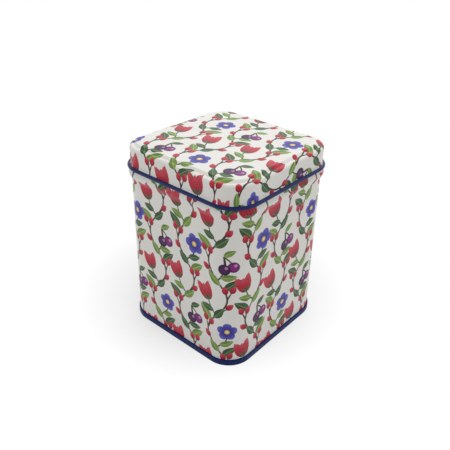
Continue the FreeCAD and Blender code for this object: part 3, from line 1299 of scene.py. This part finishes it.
@dataclass
class PrintedLid(PrintedSheet):
    """The lid: a printed sheet drawn to a raised panel, a ledge, a skirt and a curl round its mouth."""

    plan: Plan
    sheet: float = SHEET_THICKNESS
    top: float = 98.52
    panel_out: float = -3.21
    panel_rim: float = 0.9
    ledge_out: float = -1.81
    ledge: float = 97.42
    step_radius: float = 0.5
    skirt_out: float = 0.34
    shoulder_radius: float = 1.5
    curl_out: float = 1.0
    curl_up: float = 87.23
    curl_radius: float = 0.873
    curl_root_radius: float = 0.28
    curl_turn: float = 250.0
    stems: int = 5
    seed: int = 21
    navy_lift: float = 0.005
    print_bleed: float = 0.6
    map_middle: float = 0.3775
    map_half: float = 0.3675
    back_middle: float = 0.8725
    back_half: float = 0.1175

    def __post_init__(self) -> None:
        """Draws the section from the flat panel outwards, and finds where the navy edge begins."""
        curl_top = self.curl_up + self.curl_radius
        self.line = SheetLine([
            (self.panel_out - self.panel_rim, self.top, 0.0),
            (self.panel_out, self.top, self.step_radius),
            (self.ledge_out, self.ledge, self.step_radius),
            (self.skirt_out, self.ledge, self.shoulder_radius),
            (self.skirt_out, curl_top, self.curl_root_radius),
            (self.curl_out, curl_top, 0.0),
        ], -1).roll(self.curl_radius, self.curl_turn)
        self.navy = self.line.mark(curl_top + self.navy_lift)
        self.flat_reach = self.plan.corner + self.panel_out - self.panel_rim

    def split(self, x: float, y: float) -> tuple[float, float, Vector]:
        """Finds the nearest place within the square of the corner centres, and the step from there.

        Args:
            x: Place on the flat sheet.
            y: Place on the flat sheet.

        Returns:
            The nearest place in X and Y, and the step from it to the given place.
        """
        run = self.plan.run
        near_x, near_y = min(max(x, -run), run), min(max(y, -run), run)
        return near_x, near_y, Vector((x - near_x, y - near_y))

    def form(self, u: float, v: float, depth: float = 0.0) -> Formed:
        """Draws a place of the flat sheet to the lid.

        Args:
            u: Place on the flat sheet in X.
            v: Place on the flat sheet in Y.
            depth: How far under the printed face, 0 for the face itself.

        Returns:
            The place on the lid and the direction it faces.
        """
        near_x, near_y, step = self.split(u, v)
        sign = -1.0 if depth else 1.0
        reach = step.length
        if reach <= self.flat_reach:
            return Vector((u, v, self.top - depth)), Vector((0, 0, sign))
        way = step / reach
        station = self.line.at(reach - self.flat_reach)
        out = self.plan.corner + station.out - depth * station.face_out
        up = station.up - depth * station.face_up
        return (
            Vector((near_x + way.x * out, near_y + way.y * out, up)),
            sign * Vector((way.x * station.face_out, way.y * station.face_out, station.face_up)),
        )

    def ring(self, length: float) -> list[Point]:
        """Lists the places of the flat sheet at a length along the section.

        Args:
            length: The length from the section's beginning.

        Returns:
            The places, once round from the +X side.
        """
        run, steps, reach = self.plan.run, self.plan.corner_steps, self.flat_reach + length
        found = []
        for corner, (x, y) in enumerate(((run, run), (-run, run), (-run, -run), (run, -run))):
            for step in range(steps + 1):
                angle = math.pi / 2 * (corner + step / steps)
                found.append((x + reach * math.cos(angle), y + reach * math.sin(angle)))
        return found

    @property
    def blank_half(self) -> float:
        """Half the width of the flat sheet."""
        return self.plan.run + self.flat_reach + self.line.marks[-1]

    def on_sheet(self, place: Point, centre: Point) -> Point:
        """Places the printed face on the flat sheet map, wherever its centre is."""
        return tuple(self.map_middle + self.map_half * c / self.blank_half for c in place)

    def on_back(self, x: float, y: float) -> Point:
        """Places the bare inside on the flat sheet map."""
        return tuple(self.back_middle + self.back_half * c / self.blank_half for c in (x, y))

    def coat_at(self, u: float, v: float, shape: Shape | None) -> Coat | Ink:
        """Tells what the printed face is coated with.

        Args:
            u: Place on the flat sheet in X.
            v: Place on the flat sheet in Y.
            shape: The shape that is printed there, if any.

        Returns:
            The coat or the ink.
        """
        if self.split(u, v)[2].length - self.flat_reach > self.navy:
            return NAVY
        return ENAMEL if shape is None else shape.ink

    def build(self, materials: dict[str, Material]) -> bpy.types.Object:
        """Cuts, prints and draws the sheet, and adds its bare inside.

        Args:
            materials: The finishes' materials, by finish name.

        Returns:
            The lid's object.
        """
        half = self.blank_half
        shapes = TrailingVines(2 * half, 2 * half, self.stems, self.seed).draw()
        for shape in shapes:
            shape.move(-half, -half)
        shapes = trimmed(shapes, self.ring(self.navy + self.print_bleed))
        rings = [self.ring(mark) for mark in self.line.marks]
        lines = [ring + ring[:1] for ring in rings] + [list(chain) for chain in zip(*rings)]
        mesh = self.printed_face(lines, shapes)
        self.line_inside(mesh, rings)
        return mesh.make("lid_printed_sheet", materials)

    def line_inside(self, mesh: SheetMesh, rings: list[list[Point]]) -> None:
        """Adds the bare inner face of the lid and its cut edge.

        Args:
            mesh: The lid's mesh.
            rings: The flat sheet's bend lines, from the panel outwards.
        """
        inner = [[mesh.point(self.form(*p, self.sheet)) for p in ring] for ring in rings]
        spots = [[self.on_back(*p) for p in ring] for ring in rings]
        mesh.face(inner[0][::-1], TINPLATE, spots[0][::-1])
        mesh.skin(inner, spots, closed=True)
        edge = [mesh.point(self.form(*p)) for p in rings[-1]]
        mesh.skin([inner[-1], edge], [spots[-1]] * 2, closed=True)

    def dress(self, piece: bpy.types.Object) -> None:
        """Puts the piece on its body in place of the CAD node.

        Args:
            piece: The piece.
        """
        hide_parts("slip_lid")
        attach(piece, "lid")


@dataclass
class SeamedBase:
    """The base: a navy blank with a countersunk panel, folded round the body's foot in a double seam."""

    plan: Plan
    sheet: float = SHEET_THICKNESS
    seam_out: float = 0.75
    seam_height: float = 3.2
    chuck_out: float = -0.47
    recess: float = 2.6
    cover_out: float = 0.03
    hook_end: float = 1.2
    bend_radius: float = 0.34
    bend_segments: int = 5
    ring_reach: float = 0.05
    sharp_degrees: float = 50.0

    def raise_by(self, height: float) -> None:
        """Extrudes what is selected straight up, or down if the height is negative."""
        bpy.ops.mesh.extrude_region_move(TRANSFORM_OT_translate={"value": (0, 0, height * MM)})

    def inset_by(self, width: float) -> None:
        """Insets what is selected, in its own plane."""
        bpy.ops.mesh.inset(thickness=width * MM, depth=0.0)

    def out_of(self, place: Vector) -> float:
        """Tells how far a place of the mesh lies outside the wall's face."""
        beyond = (max(abs(c) / MM - self.plan.run, 0.0) for c in place.xy)
        return math.hypot(*beyond) - self.plan.corner

    def select_rings(self, rings: Iterable[Point]) -> None:
        """Selects the edges that lie in level rings round the base.

        Args:
            rings: For each ring its place outside the wall's face and its height.
        """
        bpy.ops.mesh.select_all(action="DESELECT")
        blank = bmesh.from_edit_mesh(bpy.context.object.data)
        for edge in blank.edges:
            places = [(self.out_of(v.co), v.co.z / MM) for v in edge.verts]
            if any(all(math.dist(p, ring) < self.ring_reach for p in places) for ring in rings):
                edge.select_set(True)
        bmesh.update_edit_mesh(bpy.context.object.data)

    def build(self, materials: dict[str, Material]) -> bpy.types.Object:
        """Presses the base from a square blank and folds its edge.

        Args:
            materials: The finishes' materials, by finish name.

        Returns:
            The base's object.
        """
        bpy.ops.object.select_all(action="DESELECT")
        bpy.ops.mesh.primitive_plane_add(size=2 * (self.plan.half + self.seam_out) * MM)
        piece = bpy.context.object
        piece.name = piece.data.name = "base_double_seamed"
        bpy.ops.object.mode_set(mode="EDIT")
        bpy.ops.mesh.select_all(action="SELECT")
        bpy.ops.mesh.flip_normals()
        bpy.ops.mesh.bevel(
            offset=(self.plan.corner + self.seam_out) * MM, segments=self.plan.corner_steps,
            affect="VERTICES",
        )
        bpy.ops.mesh.select_all(action="SELECT")
        self.inset_by(self.seam_out - self.chuck_out)
        self.raise_by(self.recess)
        bpy.ops.mesh.select_mode(type="EDGE")
        self.select_rings([(self.seam_out, 0.0)])
        self.raise_by(self.seam_height)
        bpy.ops.mesh.edge_face_add()
        self.inset_by(self.seam_out - self.cover_out)
        self.raise_by(self.hook_end - self.seam_height)
        bpy.ops.mesh.delete(type="FACE")
        self.select_rings([
            (self.seam_out, 0.0), (self.seam_out, self.seam_height),
            (self.chuck_out, 0.0), (self.chuck_out, self.recess),
        ])
        bpy.ops.mesh.bevel(offset=self.bend_radius * MM, segments=self.bend_segments, affect="EDGES")
        bpy.ops.object.mode_set(mode="OBJECT")
        piece.data.materials.append(materials[NAVY_PLATE.name])
        piece.data.materials.append(materials[TINPLATE.name])
        wall = piece.modifiers.new("sheet", "SOLIDIFY")
        wall.thickness, wall.offset, wall.use_even_offset = self.sheet * MM, -1.0, True
        wall.material_offset = 1
        bpy.ops.object.modifier_apply(modifier=wall.name)
        bpy.ops.object.shade_smooth_by_angle(angle=math.radians(self.sharp_degrees))
        even = piece.modifiers.new("even", "WEIGHTED_NORMAL")
        even.keep_sharp = True
        bpy.ops.object.modifier_apply(modifier=even.name)
        return piece

    def dress(self, piece: bpy.types.Object) -> None:
        """Puts the piece on its body in place of the CAD node.

        Args:
            piece: The piece.
        """
        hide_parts("seamed_base")
        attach(piece, "tin")


@dataclass(frozen=True)
class Lamp:
    """A square soft box that points at the tin: its place and width in metres, its power in watts."""

    name: str
    place: tuple[float, float, float]
    width: float
    power: float
    aim: tuple[float, float, float] = (0.0, 0.0, 0.05)


@dataclass
class Studio:
    """The white sweep, the soft light and the camera that took the photograph."""

    azimuth: float = 38.583
    elevation: float = 28.306
    roll: float = 2.301
    distance: float = 280.0
    aim: tuple[float, float, float] = (5.958, 7.283, 63.023)
    focal_pixels: float = 549.08
    shift_pixels: tuple[float, float] = (20.0, -20.0)
    frame_pixels: float = 450.0
    sensor: float = 36.0
    near_limit: float = 0.01
    ambient: float = 0.55
    paper: str = "#dadada"
    floor_size: float = 4.0
    floor_drop: float = 0.0001
    # A painted shadow on the floor: how dark it is at its middle, its middle in millimetres, and the
    # distances at which it begins to fade and is gone
    shadow_share: float = 0.74
    shadow_middle: tuple[float, float] = (-18.0, 11.0)
    shadow_core: float = 15.0
    shadow_reach: float = 76.0
    lamps: tuple[Lamp, ...] = (
        Lamp("top_softbox", (-0.2, 0.5, 0.85), 0.9, 4.7),
        Lamp("left_softbox", (-0.55, -0.8, 0.3), 0.5, 0.9),
        Lamp("right_softbox", (0.85, 0.5, 0.3), 0.5, 0.7),
    )

    def seen(self, tree: Tree) -> Socket:
        """Tells what is seen from what gives light.

        Args:
            tree: The node tree of the floor or of the world.

        Returns:
            1 for what the camera, a reflection or glass sees, and 0 for what lights the tin.
        """
        path = add_node(tree, "LightPath").outputs
        seen = path["Is Camera Ray"]
        for ray in ("Is Glossy Ray", "Is Transmission Ray"):
            seen = add_node(tree, "Math", {0: seen, 1: path[ray]}, operation="MAXIMUM").outputs[0]
        return seen

    def lay_floor(self) -> None:
        """Lays the white floor, which keeps the tin's real shadow and adds a painted shadow that fades
        out from a point beside the tin.
        """
        bpy.ops.object.select_all(action="DESELECT")
        bpy.ops.mesh.primitive_plane_add(size=self.floor_size, location=(0, 0, -self.floor_drop))
        floor = bpy.context.object
        floor.name = "floor"
        bpy.ops.object.transform_apply()
        # Smooth white paper: as bright to the eye as the background, but for the tin's soft shadow, which
        # is partly real and partly a painted shadow: towards shadow_middle the camera sees less white
        # glow and more lit paper
        material = empty_material("paper_white_sweep")
        tree = material.node_tree
        paper = add_node(tree, "BsdfDiffuse", {"Color": linear(self.paper)})
        glow = add_node(tree, "Emission", {"Color": WHITE, "Strength": 1.0})
        away = add_node(tree, "VectorMath", {
            0: add_node(tree, "TexCoord").outputs["Object"],
            1: (*(c * MM for c in self.shadow_middle), 0.0),
        }, operation="DISTANCE")
        # Painted shadow: the white glow is faded out towards shadow_middle, so the lit paper shows darker
        # there
        painted_shadow_fade = add_node(tree, "MapRange", {
            "Value": away.outputs["Value"],
            "From Min": self.shadow_core * MM, "From Max": self.shadow_reach * MM,
            "To Min": 1 - self.shadow_share, "To Max": 1.0,
        })
        share = add_node(tree, "Math", {
            0: self.seen(tree), 1: painted_shadow_fade.outputs["Result"],
        }, operation="MULTIPLY")
        mix = add_node(tree, "MixShader", {
            0: share.outputs[0], 1: paper.outputs[0], 2: glow.outputs[0],
        })
        add_node(tree, "OutputMaterial", {"Surface": mix.outputs[0]})
        floor.data.materials.append(material)

    def hang_background(self) -> None:
        """Hangs the white background, which lights the tin softly from all round."""
        world = bpy.data.worlds.new("white_room")
        bpy.context.scene.world = world
        world.use_nodes = True
        tree = world.node_tree
        tree.nodes.clear()
        light = add_node(tree, "Background", {"Color": WHITE, "Strength": self.ambient})
        white = add_node(tree, "Background", {"Color": WHITE, "Strength": 1.0})
        mix = add_node(tree, "MixShader", {
            0: self.seen(tree), 1: light.outputs[0], 2: white.outputs[0],
        })
        add_node(tree, "OutputWorld", {"Surface": mix.outputs[0]})

    def hang(self, lamp: Lamp) -> None:
        """Hangs a soft box.

        Args:
            lamp: The soft box.
        """
        light = bpy.data.lights.new(lamp.name, "AREA")
        light.shape, light.size, light.energy = "SQUARE", lamp.width, lamp.power
        box = bpy.data.objects.new(lamp.name, light)
        box.location = lamp.place
        box.rotation_euler = (Vector(lamp.aim) - Vector(lamp.place)).to_track_quat("-Z", "Y").to_euler()
        bpy.context.scene.collection.objects.link(box)

    def set_camera(self) -> None:
        """Sets up the camera at the photograph's angle."""
        azimuth, elevation, roll = (math.radians(a) for a in (self.azimuth, self.elevation, self.roll))
        back = Vector((
            math.sin(azimuth) * math.cos(elevation), -math.cos(azimuth) * math.cos(elevation),
            math.sin(elevation),
        ))
        right = Vector((math.cos(azimuth), math.sin(azimuth), 0))
        turned = math.cos(roll) * right + math.sin(roll) * back.cross(right)
        place = (Vector(self.aim) + back * self.distance) * MM
        data = bpy.data.cameras.new("camera")
        data.sensor_width = self.sensor
        data.lens = self.focal_pixels * self.sensor / self.frame_pixels
        data.shift_x = -self.shift_pixels[0] / self.frame_pixels
        data.shift_y = self.shift_pixels[1] / self.frame_pixels
        data.clip_start = self.near_limit
        camera = bpy.data.objects.new("camera", data)
        axes = Matrix((turned, back.cross(turned), back)).transposed().to_4x4()
        camera.matrix_world = Matrix.Translation(place) @ axes
        bpy.context.scene.collection.objects.link(camera)
        bpy.context.scene.camera = camera

    def build(self) -> None:
        """Sets the stage."""
        self.lay_floor()
        self.hang_background()
        for lamp in self.lamps:
            self.hang(lamp)
        self.set_camera()
        bpy.context.scene.view_settings.view_transform = "Standard"


def main() -> None:
    """Builds the tin on its frame, piece by piece, and sets the stage."""
    logging.basicConfig(level=logging.INFO, format="%(name)s: %(message)s")
    plan = Plan()
    materials = {finish.name: finish.material() for finish in SHEET_FINISHES}
    for maker in (SeamedBase(plan), PrintedBody(plan), PrintedLid(plan)):
        piece = maker.build(materials)
        maker.dress(piece)
        LOG.info("%s: %d faces", piece.name, len(piece.data.polygons))
    Studio().build()


if __name__ == "__main__":
    main()
